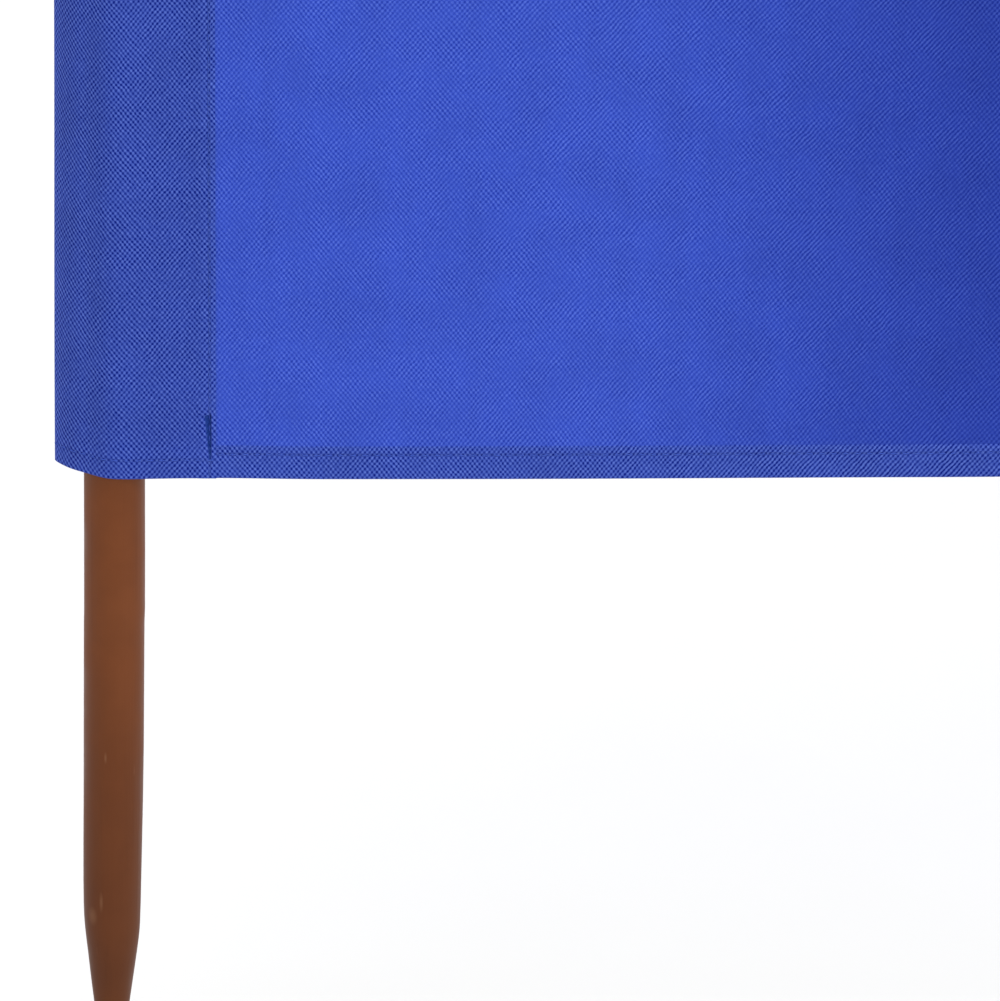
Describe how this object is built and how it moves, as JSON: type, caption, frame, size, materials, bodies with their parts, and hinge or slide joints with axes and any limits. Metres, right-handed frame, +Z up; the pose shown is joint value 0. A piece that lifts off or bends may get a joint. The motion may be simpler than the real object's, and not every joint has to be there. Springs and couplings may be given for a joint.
{
  "type": "beach windbreak",
  "caption": "Fence of pressed cloth in bays, with doubled hems, that runs in front of round pointed wooden poles and holds them in sleeves sewn at its back.",
  "frame": {"origin": "middle of the blunt end of the middle pole's point", "axes": "+X along the fence, +Y through it from the front to the back, +Z up along the poles"},
  "size_m": [4.048, 0.0272, 1.508],
  "materials": {
    "cloth": "matt, pressed with small dimples in staggered rows",
    "doubled_cloth": "as the cloth, in two layers",
    "pole": "smooth brown paint, semi-matt"
  },
  "bodies": {
    "root": {"pole_1": "pole", "pole_2": "pole", "pole_3": "pole", "pole_4": "pole", "pole_5": "pole", "sleeve_1": "doubled_cloth", "sleeve_2": "doubled_cloth", "sleeve_3": "doubled_cloth", "sleeve_4": "doubled_cloth", "sleeve_5": "doubled_cloth", "panel_1": "cloth", "panel_2": "cloth", "panel_3": "cloth", "panel_4": "cloth", "bottom_hem_1": "doubled_cloth", "bottom_hem_2": "doubled_cloth", "bottom_hem_3": "doubled_cloth", "bottom_hem_4": "doubled_cloth", "top_hem_1": "doubled_cloth", "top_hem_2": "doubled_cloth", "top_hem_3": "doubled_cloth", "top_hem_4": "doubled_cloth"}
  },
  "joints": []
}
